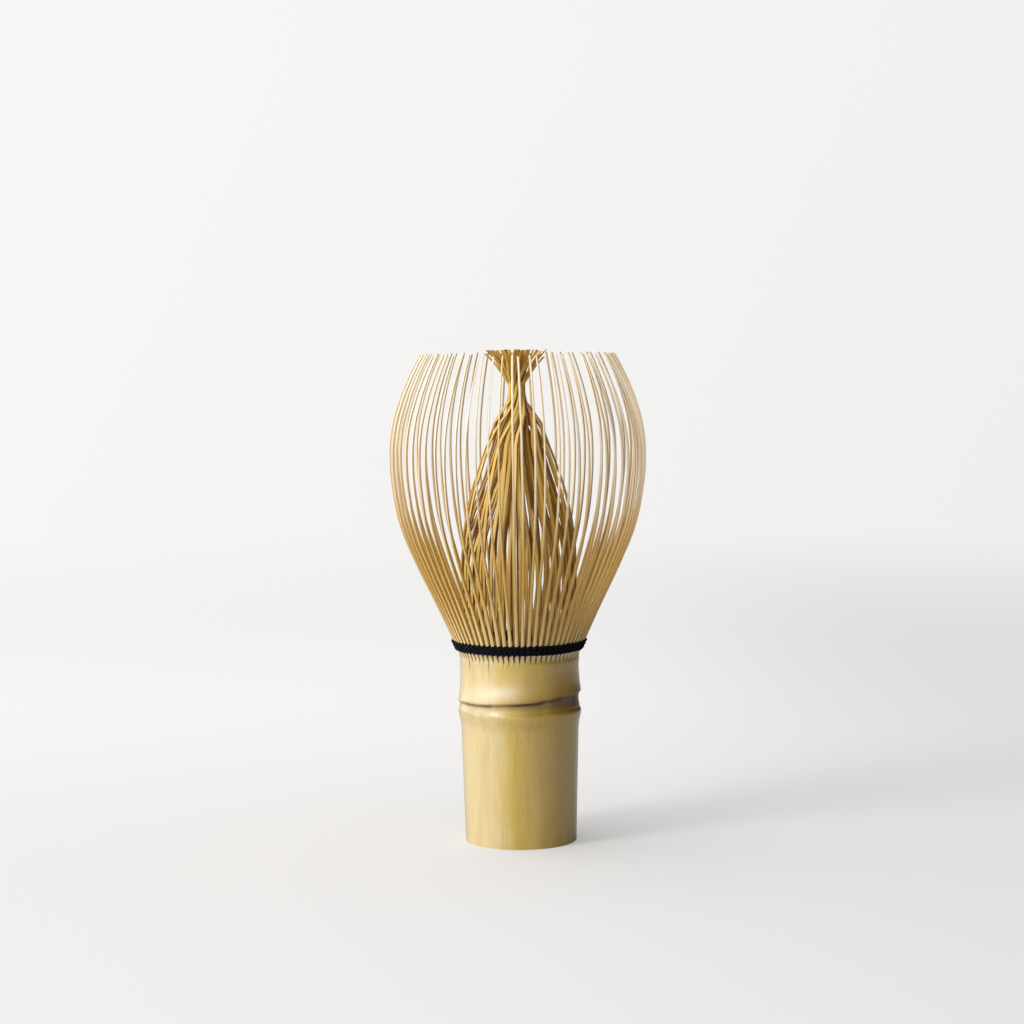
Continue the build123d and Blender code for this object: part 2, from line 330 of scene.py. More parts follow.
def curve_of(tree, value, points):
    """A number read off a smooth curve through a few points, both ways from 0 to 1."""
    made = node(tree, "ShaderNodeFloatCurve", {"Value": value})
    line = made.mapping.curves[0]
    line.points[0].location = points[0]
    line.points[-1].location = points[-1]
    for point in points[1:-1]:
        line.points.new(*point)
    made.mapping.update()
    return made.outputs[0]


# ---------------------------------------------------------------- geometry node trees


def tree_input(tree, name, kind, value=None):
    """Adds one named input to a geometry tree."""
    socket = tree.interface.new_socket(name=name, in_out="INPUT", socket_type=kind)
    if value is not None:
        socket.default_value = value
    return socket


def random_between(tree, low, high, identity, seed):
    """One random number for each strip."""
    made = node(
        tree,
        "FunctionNodeRandomValue",
        {"Min": low, "Max": high, "ID": identity, "Seed": seed},
        data_type="FLOAT",
    )
    return made.outputs["Value"]


def store(tree, geometry, name, value, data_type, domain):
    """Keeps a value on the mesh under a name that the materials read."""
    made = node(tree, "GeometryNodeStoreNamedAttribute", data_type=data_type, domain=domain)
    feed(tree, made.inputs["Geometry"], geometry)
    made.inputs["Name"].default_value = name
    feed(tree, made.inputs["Value"], value)
    return made.outputs[0]


def finish_tree(tree, geometry, material):
    """Ends a tree: real geometry, with its material."""
    real = node(tree, "GeometryNodeRealizeInstances", {"Geometry": geometry}).outputs[0]
    painted = node(tree, "GeometryNodeSetMaterial", {"Geometry": real, "Material": material}).outputs[0]
    output = tree.nodes.new("NodeGroupOutput")
    tree.links.new(painted, output.inputs[0])


STRIP_INPUTS = (
    "Start Radius", "Full Radius", "Start Height", "Tip Height", "Root Width", "Full Width",
    "Root Thickness", "Tip Thickness", "Crown", "Twist", "Wander", "Pairing", "Sway", "Spread",
    "Uneven Tips", "Turn", "Layer Share", "Start Angle",
)
STRIP_ROWS = 31
# Shares of a strip's length: where the sheaf's layers close up, and where its twist starts.
GATHER_FROM, GATHER_TO = 0.3, 0.72
TWIST_START = 0.7
# The drift of the strips shrinks to the tight share where the sheaf is drawn in to the tight radius.
TIGHT_RADIUS, LOOSE_RADIUS, TIGHT_SHARE = 2.0 * MM, 9.0 * MM, 0.12
DRIFT_GROWTH = 1.6           # the power of the length at which a drift grows
WIDTH_DRIFT = 0.18           # the share by which a tip may be wider or narrower
COUPLE_SEED = 77
SHARP_EDGE = 1.0             # radians; a steeper edge of a strip isn't shaded smooth
# The bow of a strip from root to tip: a half is the start radius, one is the full radius, and under a
# half is nearer the axis.
OUTER_BOW = [
    (0.0, 0.5), (0.14, 0.647), (0.28, 0.80), (0.42, 0.927), (0.52, 0.975), (0.63, 1.0), (0.74, 0.985),
    (0.84, 0.924), (0.92, 0.85), (1.0, 0.754),
]
SHEAF_BOW = [
    (0.0, 0.5), (0.2, 0.512), (0.36, 0.516), (0.5, 0.46), (0.62, 0.36), (0.76, 0.21), (0.885, 0.065),
    (0.935, 0.13), (1.0, 0.28),
]
# How far a strip's width has gone from its root's to its full width.
OUTER_WIDTH = [(0.0, 0.0), (0.14, 0.34), (0.3, 0.7), (0.6, 0.93), (1.0, 1.0)]
SHEAF_WIDTH = [(0.0, 0.0), (0.12, 0.08), (0.3, 0.6), (0.5, 1.0), (0.72, 0.9), (0.88, 0.2), (1.0, 0.75)]
SHEAF_LAYERS = 3


def strip_tree(name, bow, width_curve, layers):
    """Split bamboo strips that stand in a ring: a bar for each, bent to the bow, with its own drift.

    With layers, every so many strips are a set, each of which lies nearer the axis than the one before.
    """
    tree = bpy.data.node_groups.new(name, "GeometryNodeTree")
    tree.is_modifier = True
    tree.interface.new_socket(name="Strips", in_out="OUTPUT", socket_type="NodeSocketGeometry")
    for text in STRIP_INPUTS:
        tree_input(tree, text, "NodeSocketFloat")
    tree_input(tree, "First Strip", "NodeSocketInt", 0)
    tree_input(tree, "Strips", "NodeSocketInt", 2)
    tree_input(tree, "Strips Round", "NodeSocketInt", TINES)
    tree_input(tree, "Seed", "NodeSocketInt", 1)
    tree_input(tree, "Material", "NodeSocketMaterial")
    given = tree.nodes.new("NodeGroupInput").outputs

    # A strip is a bar, one unit each way, which is bent into its own place at the end.
    starts = node(tree, "GeometryNodePoints", {"Count": given["Strips"]})
    index = node(tree, "GeometryNodeInputIndex").outputs[0]
    number = calc(tree, "ADD", index, given["First Strip"])
    numbered = store(tree, starts.outputs[0], "strip", number, "FLOAT", "POINT")
    bar = node(
        tree,
        "GeometryNodeMeshCube",
        {"Size": (1.0, 1.0, 1.0), "Vertices X": 3, "Vertices Y": 2, "Vertices Z": STRIP_ROWS},
    ).outputs["Mesh"]
    normal = node(tree, "ShaderNodeSeparateXYZ", {0: node(tree, "GeometryNodeInputNormal").outputs[0]})
    side = calc(tree, "GREATER_THAN", calc(tree, "ABSOLUTE", normal.outputs["X"]), 0.5)
    back = calc(tree, "LESS_THAN", normal.outputs["Y"], -0.5)
    bar = store(tree, bar, "side", side, "FLOAT", "FACE")
    bar = store(tree, bar, "back", back, "FLOAT", "FACE")
    steep = node(tree, "GeometryNodeInputMeshEdgeAngle").outputs["Unsigned Angle"]
    bar = node(
        tree,
        "GeometryNodeSetShadeSmooth",
        {"Geometry": bar, "Selection": calc(tree, "GREATER_THAN", steep, SHARP_EDGE), "Shade Smooth": False},
        domain="EDGE",
    ).outputs[0]
    copies = node(tree, "GeometryNodeInstanceOnPoints", {"Points": numbered, "Instance": bar})
    strips = node(tree, "GeometryNodeRealizeInstances", {"Geometry": copies.outputs[0]}).outputs[0]

    place = node(tree, "ShaderNodeSeparateXYZ", {0: node(tree, "GeometryNodeInputPosition").outputs[0]})
    across, deep = place.outputs["X"], place.outputs["Y"]
    along = calc(tree, "ADD", place.outputs["Z"], 0.5)
    strips = store(tree, strips, "along", along, "FLOAT", "POINT")
    strips = store(tree, strips, "across", across, "FLOAT", "POINT")
    which = node(tree, "GeometryNodeInputNamedAttribute", {"Name": "strip"}, data_type="FLOAT").outputs[0]
    identity = node(tree, "FunctionNodeFloatToInt", {0: which}).outputs[0]

    def drift(offset, low=-1.0, high=1.0):
        return random_between(tree, low, high, identity, calc(tree, "ADD", given["Seed"], offset))

    grown = calc(tree, "POWER", along, DRIFT_GROWTH)
    bulge = calc(tree, "SINE", product(tree, along, pi))
    radius = total(
        tree,
        given["Start Radius"],
        product(
            tree,
            calc(tree, "SUBTRACT", given["Full Radius"], given["Start Radius"]),
            calc(tree, "SUBTRACT", product(tree, curve_of(tree, along, bow), 2.0), 1.0),
        ),
    )
    if layers:
        gathered = ramp(tree, along, GATHER_FROM, GATHER_TO, eased=True)
        layer = calc(tree, "FLOORED_MODULO", which, float(layers))
        closer = product(tree, layer, given["Layer Share"], gathered)
        radius = product(tree, radius, calc(tree, "SUBTRACT", 1.0, closer))
        loose = ramp(tree, radius, TIGHT_RADIUS, LOOSE_RADIUS, TIGHT_SHARE, 1.0)
    else:
        loose = 1.0
    radius = total(tree, radius, product(tree, drift(1), given["Spread"], grown, loose))
    couple = calc(tree, "ADD", calc(tree, "FLOOR", calc(tree, "DIVIDE", which, 2.0)), 0.5)
    couple_number = node(tree, "FunctionNodeFloatToInt", {0: couple}, rounding_mode="FLOOR").outputs[0]
    together = random_between(tree, -1.0, 1.0, couple_number, COUPLE_SEED)
    # A strip and its partner drift together, and by no more than the wander in all.
    wandering = calc(tree, "MAXIMUM", calc(tree, "MINIMUM", total(tree, drift(2), together), 1.0), -1.0)
    towards = calc(tree, "SUBTRACT", 1.0, product(tree, calc(tree, "FLOORED_MODULO", which, 2.0), 2.0))
    sideways = total(
        tree,
        product(tree, wandering, given["Wander"], grown, loose),
        product(tree, towards, given["Pairing"], grown),
        product(tree, drift(3), given["Sway"], bulge, loose),
    )
    round_step = calc(tree, "DIVIDE", 2 * pi, given["Strips Round"])
    turned = total(
        tree,
        given["Start Angle"],
        product(tree, which, round_step),
        product(tree, given["Twist"], ramp(tree, along, TWIST_START, 1.0, eased=True)),
        calc(tree, "DIVIDE", sideways, radius),
    )
    full = curve_of(tree, along, width_curve)
    width = total(
        tree,
        product(tree, given["Root Width"], calc(tree, "SUBTRACT", 1.0, full)),
        product(tree, given["Full Width"], full),
    )
    width = product(tree, width, total(tree, 1.0, product(tree, drift(4), along, WIDTH_DRIFT)))
    thickness = total(
        tree,
        product(tree, given["Root Thickness"], calc(tree, "SUBTRACT", 1.0, along)),
        product(tree, given["Tip Thickness"], along),
    )
    edge = product(tree, across, across, 4.0)
    crown = product(tree, given["Crown"], calc(tree, "SUBTRACT", 1.0, edge), ramp(tree, deep, -0.5, 0.5))
    flat_x = product(tree, across, width)
    flat_y = total(tree, product(tree, deep, thickness), crown)
    own_turn = product(tree, drift(5), given["Turn"], grown)
    own_cos, own_sin = calc(tree, "COSINE", own_turn), calc(tree, "SINE", own_turn)
    tangent = total(tree, product(tree, flat_x, own_cos), product(tree, flat_y, own_sin, -1.0))
    outward = total(tree, product(tree, flat_x, own_sin), product(tree, flat_y, own_cos))
    far = total(tree, radius, outward)
    cosine, sine = calc(tree, "COSINE", turned), calc(tree, "SINE", turned)
    rise = calc(tree, "SUBTRACT", given["Tip Height"], given["Start Height"])
    short = product(tree, drift(6, 0.0, 1.0), drift(7, 0.0, 1.0), given["Uneven Tips"])
    spot = node(
        tree,
        "ShaderNodeCombineXYZ",
        {
            "X": calc(tree, "SUBTRACT", product(tree, far, cosine), product(tree, tangent, sine)),
            "Y": calc(tree, "ADD", product(tree, far, sine), product(tree, tangent, cosine)),
            "Z": total(
                tree, given["Start Height"], product(tree, along, calc(tree, "SUBTRACT", rise, short))
            ),
        },
    ).outputs[0]
    strips = node(tree, "GeometryNodeSetPosition", {"Geometry": strips, "Position": spot}).outputs[0]
    finish_tree(tree, strips, given["Material"])
    return tree


STRAND_INPUTS = ("Row Radius", "Row Height", "Swing", "Lean", "Rise", "Thickness", "Ply Depth", "Ply Turns")
POINTS_PER_TOOTH = 12
STRAND_SIDES = 8
STRAND_FLATNESS = 0.45       # under one, a strand lies longer on its tooth before it changes sides


def strand_tree():
    """Two strands of thread that change places in every slit, each of two plies."""
    tree = bpy.data.node_groups.new("Twined strands", "GeometryNodeTree")
    tree.is_modifier = True
    tree.interface.new_socket(name="Strands", in_out="OUTPUT", socket_type="NodeSocketGeometry")
    for text in STRAND_INPUTS:
        tree_input(tree, text, "NodeSocketFloat")
    tree_input(tree, "Teeth", "NodeSocketInt", TINES)
    tree_input(tree, "Material", "NodeSocketMaterial")
    given = tree.nodes.new("NodeGroupInput").outputs
    points = calc(tree, "MULTIPLY", given["Teeth"], float(POINTS_PER_TOOTH))
    joined = tree.nodes.new("GeometryNodeJoinGeometry")
    for strand in (0, 1):
        circle = node(tree, "GeometryNodeCurvePrimitiveCircle", {"Resolution": points, "Radius": 1.0})
        index = node(tree, "GeometryNodeInputIndex").outputs[0]
        round_share = calc(tree, "DIVIDE", index, points)
        turned = product(tree, round_share, 2 * pi)
        beat = total(tree, product(tree, turned, calc(tree, "DIVIDE", given["Teeth"], 2.0)), strand * pi)
        wave = calc(tree, "COSINE", beat)
        cross = calc(tree, "SINE", beat)
        # A strand lies flat on the tooth that it passes, and changes sides quickly in the slit.
        strength = calc(tree, "POWER", calc(tree, "ABSOLUTE", wave), STRAND_FLATNESS)
        flat = product(tree, calc(tree, "SIGN", wave), strength)
        height = total(tree, given["Row Height"], product(tree, cross, given["Rise"]))
        radius = total(
            tree,
            given["Row Radius"],
            product(tree, flat, given["Swing"]),
            product(tree, cross, given["Rise"], calc(tree, "TANGENT", given["Lean"])),
        )
        spot = node(
            tree,
            "ShaderNodeCombineXYZ",
            {
                "X": product(tree, radius, calc(tree, "COSINE", turned)),
                "Y": product(tree, radius, calc(tree, "SINE", turned)),
                "Z": height,
            },
        ).outputs[0]
        route = node(tree, "GeometryNodeSetPosition", {"Geometry": circle.outputs[0], "Position": spot})
        tilt = product(tree, round_share, given["Ply Turns"], 2 * pi)
        tilted = node(tree, "GeometryNodeSetCurveTilt", {"Curve": route.outputs[0], "Tilt": tilt})
        outline = node(tree, "GeometryNodeCurvePrimitiveCircle", {"Resolution": STRAND_SIDES, "Radius": 1.0})
        place = node(tree, "GeometryNodeInputPosition").outputs[0]
        outline_place = node(tree, "ShaderNodeSeparateXYZ", {0: place})
        turn = calc(tree, "ARCTAN2", outline_place.outputs["Y"], outline_place.outputs["X"])
        waist = product(tree, calc(tree, "COSINE", product(tree, turn, 2.0)), given["Ply Depth"])
        size = product(tree, given["Thickness"], total(tree, 1.0, waist))
        scaled = node(tree, "ShaderNodeVectorMath", {0: place, "Scale": size}, operation="SCALE").outputs[0]
        plies = node(tree, "GeometryNodeSetPosition", {"Geometry": outline.outputs[0], "Position": scaled})
        tube = node(
            tree,
            "GeometryNodeCurveToMesh",
            {"Curve": tilted.outputs[0], "Profile Curve": plies.outputs[0]},
        ).outputs[0]
        tree.links.new(tube, joined.inputs[0])
    finish_tree(tree, joined.outputs[0], given["Material"])
    return tree


def grow(name, tree, values):
    """Runs a tree with the given inputs and leaves its result as a plain mesh object."""
    sockets = {item.name: item for item in tree.interface.items_tree if item.in_out == "INPUT"}
    holder = bpy.data.objects.new(name + "_tree", bpy.data.meshes.new(name + "_tree"))
    bpy.context.scene.collection.objects.link(holder)
    modifier = holder.modifiers.new("Tree", "NODES")
    modifier.node_group = tree
    for key, value in values.items():
        modifier[sockets[key].identifier] = value
    view = bpy.context.evaluated_depsgraph_get()
    mesh = bpy.data.meshes.new_from_object(holder.evaluated_get(view))
    bpy.data.objects.remove(holder)
    mesh.name = name
    return add_object(name, mesh)


def add_object(name, mesh):
    """Links a mesh to the scene as an object at the origin."""
    made = bpy.data.objects.new(name, mesh)
    bpy.context.scene.collection.objects.link(made)
    return made


# ---------------------------------------------------------------- materials


def new_material(name):
    """A material with an empty tree, its shader and its output."""
    made = bpy.data.materials.new(name)
    made.use_nodes = True
    made.node_tree.nodes.clear()
    tree = made.node_tree
    shader = tree.nodes.new("ShaderNodeBsdfPrincipled")
    output = tree.nodes.new("ShaderNodeOutputMaterial")
    tree.links.new(shader.outputs[0], output.inputs[0])
    return made, tree, shader


def object_place(tree, scale=(1.0, 1.0, 1.0)):
    """Object coordinates, stretched."""
    place = node(tree, "ShaderNodeTexCoord").outputs["Object"]
    return node(tree, "ShaderNodeMapping", {"Vector": place, "Scale": scale}).outputs[0]


def noise(tree, vector, scale, detail=3.0, roughness=0.55):
    """Fractal noise, about a half on average."""
    made = node(
        tree,
        "ShaderNodeTexNoise",
        {"Vector": vector, "Scale": scale, "Detail": detail, "Roughness": roughness},
    )
    return made.outputs[0]


def attribute(tree, name):
    """A number that is kept on the mesh."""
    return node(tree, "ShaderNodeAttribute", attribute_name=name).outputs["Fac"]


def bump(tree, height, distance, strength=1.0):
    """Bump from a height."""
    made = node(tree, "ShaderNodeBump", {"Height": height, "Distance": distance, "Strength": strength})
    return made.outputs[0]


def cane_material(colours):
    """Glossy cane skin: fine fibres up the cane, pale patches, painted sheen on the left and painted shade on
    the right, pale wax with a painted highlight, a dark scar with painted shade beside it, pale pared teeth.
    """
    made, tree, shader = new_material("Cane skin")
    fibres = noise(tree, object_place(tree, (1.0, 1.0, 0.035)), 2600.0, 4.0)
    broad = noise(tree, object_place(tree, (1.0, 1.0, 0.12)), 260.0, 3.0)
    patches = noise(tree, object_place(tree, (1.0, 1.0, 0.55)), 95.0, 5.0, 0.6)
    specks = noise(tree, object_place(tree, (1.0, 1.0, 0.6)), 900.0, 2.0)
    grain = noise(tree, object_place(tree), 3200.0, 2.0)
    skin, pale, olive = solid(colours.skin), solid(colours.skin_pale), solid(colours.olive_skin_and_shade)
    base = blend_colour(tree, ramp(tree, patches, 0.4, 0.7, 0.0, 0.6), skin, pale)
    # Painted sheen on the left, where the key light reflects, and painted shade on the right, partly olive
    # skin, meet along a ragged line.
    sideways = node(tree, "ShaderNodeSeparateXYZ", {0: object_place(tree)}).outputs["X"]
    ragged = total(tree, sideways, product(tree, calc(tree, "SUBTRACT", patches, 0.5), 14.0 * MM))
    reached = ramp(tree, ragged, -2.5 * MM, -6.5 * MM, 0.0, 0.7)
    base = blend_colour(tree, reached, base, solid(colours.painted_sheen))
    # Painted shade: more olive towards the right, away from the key light.
    base = blend_colour(tree, ramp(tree, ragged, 2.0 * MM, 13.0 * MM, 0.0, 0.6), base, olive)
    base = blend_colour(tree, ramp(tree, broad, 0.46, 0.72, 0.0, 0.3), base, olive)
    base = blend_colour(tree, ramp(tree, fibres, 0.5, 0.75, 0.0, 0.28), base, olive)
    base = blend_colour(tree, ramp(tree, grain, 0.55, 0.75, 0.0, 0.3), base, pale)
    base = blend_colour(tree, ramp(tree, specks, 0.7, 0.78, 0.0, 0.35), base, solid(colours.scar))
    # Pale wax beside the node: mostly a painted highlight on the front left, where the key light reflects,
    # and faint all round.
    bloom_and_highlight = product(tree, attribute(tree, "bloom_and_highlight"), ramp(tree, patches, 0.4, 0.62, 0.45, 0.9))
    base = blend_colour(tree, bloom_and_highlight, base, solid(colours.bloom_and_highlight))
    # The scar mark holds the node's own dark line and the painted shade beside it on the right.
    scar = attribute(tree, "scar")
    scar_and_shade_mark = product(tree, scar, ramp(tree, broad, 0.25, 0.5, 0.55, 1.0))
    base = blend_colour(tree, scar_and_shade_mark, base, solid(colours.scar))
    pared, inside = attribute(tree, "pared"), attribute(tree, "inside")
    base = blend_colour(tree, pared, base, solid(colours.pared))
    base = blend_colour(tree, inside, base, solid(colours.pith))
    tree.links.new(base, shader.inputs["Base Color"])
    # Bare wood and the scar are duller than the skin.
    dull = ramp(tree, total(tree, pared, inside, product(tree, scar, 0.6)), 0.0, 1.0)
    gloss = total(tree, ramp(tree, broad, 0.3, 0.7, 0.24, 0.36), product(tree, dull, 0.3))
    tree.links.new(gloss, shader.inputs["Roughness"])
    relief = total(tree, product(tree, fibres, 0.6), product(tree, patches, 0.8))
    tree.links.new(bump(tree, relief, 0.06 * MM, 0.6), shader.inputs["Normal"])
    shader.inputs["Specular IOR Level"].default_value = 0.6
    tree.links.new(calc(tree, "SUBTRACT", 0.8, product(tree, scar, 0.75)), shader.inputs["Coat Weight"])
    shader.inputs["Coat Roughness"].default_value = 0.13
    shader.inputs["Coat IOR"].default_value = 1.7
    return made


def strip_material(name, face, tip, golden, side, side_tip):
    """Pared bamboo: long fibres, a paler tip, and darker sides and edges, partly the split wood's own colour
    and partly painted shade; no two strips quite alike.
    """
    made, tree, shader = new_material(name)
    along = attribute(tree, "along")
    number = attribute(tree, "strip")
    own = node(tree, "ShaderNodeTexWhiteNoise", {"W": number}, noise_dimensions="1D").outputs["Value"]
    fibre_place = node(
        tree,
        "ShaderNodeCombineXYZ",
        {
            "X": product(tree, attribute(tree, "across"), 3.0),
            "Y": product(tree, number, 7.3),
            "Z": product(tree, along, 9.0),
        },
    ).outputs[0]
    fibres = noise(tree, fibre_place, 2.2, 4.0)
    higher = ramp(tree, along, 0.3, 0.62, eased=True)
    hue = node(tree, "ShaderNodeTexWhiteNoise", {"W": total(tree, number, 0.37)}, noise_dimensions="1D")
    upper = blend_colour(tree, ramp(tree, hue.outputs["Value"], 0.45, 0.9), solid(tip), solid(golden))
    lower = blend_colour(tree, ramp(tree, along, 0.02, 0.2), solid(face), solid(golden))
    base = blend_colour(tree, higher, lower, upper)
    wood = blend_colour(tree, higher, solid(side), solid(side_tip))
    shared = noise(tree, object_place(tree), 48.0, 2.0)
    base = blend_colour(tree, ramp(tree, shared, 0.47, 0.6, 0.0, 0.6), base, solid(golden))
    base = blend_colour(tree, ramp(tree, fibres, 0.45, 0.8, 0.0, 0.5), base, wood)
    base = blend_colour(tree, ramp(tree, own, 0.0, 1.0, 0.0, 0.55), base, wood)
    # Painted shade, partly the split wood's own colour: the edges of the face and the split sides take the
    # darker side colour.
    from_middle = calc(tree, "ABSOLUTE", attribute(tree, "across"))
    base = blend_colour(tree, ramp(tree, from_middle, 0.3, 0.5, 0.0, 0.55), base, wood)
    base = blend_colour(tree, product(tree, attribute(tree, "side"), 0.85), base, wood)
    base = blend_colour(tree, product(tree, attribute(tree, "back"), 0.4), base, wood)
    tree.links.new(base, shader.inputs["Base Color"])
    tree.links.new(ramp(tree, fibres, 0.3, 0.8, 0.34, 0.52), shader.inputs["Roughness"])
    tree.links.new(bump(tree, fibres, 0.03 * MM, 0.5), shader.inputs["Normal"])
    shader.inputs["Specular IOR Level"].default_value = 0.45
    return made


FUZZ = (0.008, 0.01, 0.016, 1.0)
FLOOR_SPECKS = (0.7, 0.7, 0.7, 1.0)
BLACK = (0.0, 0.0, 0.0, 1.0)


def thread_material(colours):
    """Dark cotton: matt, with a little fuzz that catches light."""
    made, tree, shader = new_material("Black cotton")
    fuzz = noise(tree, object_place(tree), 9000.0, 3.0)
    base = blend_colour(tree, ramp(tree, fuzz, 0.5, 0.8, 0.0, 0.3), solid(colours.thread), FUZZ)
    tree.links.new(base, shader.inputs["Base Color"])
    tree.links.new(bump(tree, fuzz, 0.04 * MM, 0.7), shader.inputs["Normal"])
    shader.inputs["Roughness"].default_value = 0.85
    shader.inputs["Specular IOR Level"].default_value = 0.12
    shader.inputs["Sheen Weight"].default_value = 0.02
    return made


def floor_material(colours, stage):
    """A pale matt floor that melts into the backdrop, and bounces only part of its light."""
    made, tree, shader = new_material("Pale floor")
    grain = noise(tree, object_place(tree), 400.0, 2.0)
    spot = node(tree, "ShaderNodeSeparateXYZ", {0: object_place(tree)})
    behind = ramp(tree, spot.outputs["Y"], -60.0 * MM, 250.0 * MM, eased=True)
    base = blend_colour(tree, behind, solid(colours.floor), solid(colours.floor_far))
    base = blend_colour(tree, ramp(tree, grain, 0.3, 0.7, 0.0, 0.02), base, FLOOR_SPECKS)
    right = ramp(tree, spot.outputs["X"], -20.0 * MM, 170.0 * MM, eased=True)
    shade = solid([channel * stage.floor_falloff for channel in colours.floor])
    base = blend_colour(tree, right, base, shade)
    seen = node(tree, "ShaderNodeLightPath").outputs["Is Camera Ray"]
    dim = [channel * stage.floor_bounce for channel in colours.floor]
    base = blend_colour(tree, stage.floor_glow, base, BLACK)
    tree.links.new(blend_colour(tree, seen, solid(dim), base), shader.inputs["Base Color"])
    shader.inputs["Emission Color"].default_value = solid(colours.backdrop_low)
    tree.links.new(product(tree, seen, stage.floor_glow), shader.inputs["Emission Strength"])
    shader.inputs["Roughness"].default_value = 0.9
    shader.inputs["Specular IOR Level"].default_value = 0.1
    away = node(tree, "ShaderNodeVectorMath", {0: object_place(tree)}, operation="LENGTH").outputs["Value"]
    solid_share = ramp(tree, away, stage.fade_start, stage.floor_radius, 1.0, 0.0, eased=True)
    tree.links.new(solid_share, shader.inputs["Alpha"])
    return made


def light_surroundings(colours, stage):
    """A world that lights from the left, and that the camera sees as a plain pale backdrop."""
    world = bpy.data.worlds.new("Surroundings")
    world.use_nodes = True
    tree = world.node_tree
    tree.nodes.clear()
    way = node(tree, "ShaderNodeTexCoord").outputs["Generated"]
    parts = node(tree, "ShaderNodeSeparateXYZ", {0: way})
    sideways = ramp(tree, parts.outputs["X"], -1.0, 0.5, stage.left_light, stage.right_light, eased=True)
    under = ramp(tree, parts.outputs["Z"], -0.15, 0.1, stage.under_light, 1.0)
    overhead = ramp(tree, parts.outputs["Z"], 0.6, 1.0, 0.0, stage.overhead_light, eased=True)
    light = total(tree, product(tree, sideways, under), overhead)
    high = ramp(tree, parts.outputs["Z"], -0.2, 0.1)
    dimmer = ramp(tree, parts.outputs["X"], -0.2, 0.2, 1.0, stage.backdrop_falloff)
    backdrop = blend_colour(tree, high, solid(colours.backdrop_low), solid(colours.backdrop_high))
    seen = node(tree, "ShaderNodeLightPath").outputs["Is Camera Ray"]
    glow = node(tree, "ShaderNodeBackground", {"Color": (1.0, 0.992, 0.985, 1.0), "Strength": light})
    plain = node(tree, "ShaderNodeBackground", {"Color": backdrop, "Strength": dimmer})
    both = node(tree, "ShaderNodeMixShader", {0: seen, 1: glow.outputs[0], 2: plain.outputs[0]})
    node(tree, "ShaderNodeOutputWorld", {"Surface": both.outputs[0]})
    return world


# ---------------------------------------------------------------- cane


def bell(value, middle, width):
    """A smooth hump one high."""
    return exp(-(((value - middle) / width) ** 2))


def smooth(value, low, high):
    """Nought below low, one above high, and a smooth step between."""
    held = min(max((value - low) / (high - low), 0.0), 1.0)
    return held * held * (3 - 2 * held)


# Heights of the cane's rows, in millimetres: closest at the node's scar and in the comb.
GRIP_ROWS = [0.0, 0.15, 0.5, 1.2, *np.linspace(2.5, 27.0, 15)]
NODE_ROWS = [*np.linspace(28.0, 38.6, 46)]
NECK_ROWS = [*np.linspace(39.2, 42.2, 5)]
COMB_ROWS = [43.3, 43.7, 44.1, 44.6, 45.1, 45.6, 46.2]
COLUMNS_PER_TOOTH = 4
CANE_SEED = 11
# The share of slits that run on as a crack, how far a crack runs, and how the other slits' depths vary.
CRACKED_SHARE = 0.12
CRACK_LENGTH = (0.8 * MM, 2.2 * MM)
SLIT_DEPTH_DRIFT = (-0.55 * MM, 0.35 * MM)
# How the ridge fades, above the scar and below it, and how much the scar's lip is rounded.
FADE_ABOVE, FADE_BELOW = 3.0 * MM, 0.32 * MM
LIP_ROUNDING = 0.35 * MM
# The second swelling, below the scar: close to it on the left, further down on the right.
CREST_LEFT, CREST_DROP = 2.3 * MM, 2.3 * MM
CREST_REACH_ABOVE, CREST_REACH_BELOW = 1.45 * MM, 2.3 * MM
CREST_SHARE = 1.05
# The crease below the scar, close to it on the left and apart on the right.
CREASE_LEFT, CREASE_DROP = 1.6 * MM, 2.15 * MM
CREASE_DEPTH = 0.2 * MM
GROOVE_WIDTH = 0.34 * MM
# Between these distances from the scar, the rows stop following its tilt.
TILT_FADE = (2.0 * MM, 5.6 * MM)
# Radius and height in millimetres: the cup down to the cross wall, then the hollow down to the foot.
CUP_PROFILE = [(12.2, 42.0), (11.6, 39.5), (10.9, 36.8), (10.1, 35.0), (8.6, 34.4), (5.0, 34.15), (0.8, 34.1)]
HOLLOW_PROFILE = [
    (0.8, 32.3), (5.0, 32.2), (8.2, 31.9), (9.2, 31.0), (9.5, 29.0), (9.6, 20.0), (9.5, 8.0), (9.5, 0.0),
]
HOLLOW_WAVER = 0.012
# A slit opens between these heights over its bottom.
SLIT_OPENS = (-0.2 * MM, 2.2 * MM)
SLIT_SHARPNESS = 0.8
STRAIGHT_TOOTH = 2.2 * MM    # how far below the top of the thread a tooth is straight
SHARP_CORNER = radians(38)
# Where the painted highlight beside the node faces: the front left, towards the key light.
HIGHLIGHT_SIDE = radians(-114)


def rightness(turn):
    """One on the right of the cane, nought on its left."""
    return 0.5 + 0.5 * cos(turn)


def crease_at(turn):
    """Height from the scar to the second, fainter crease."""
    return -(CREASE_LEFT + CREASE_DROP * rightness(turn))


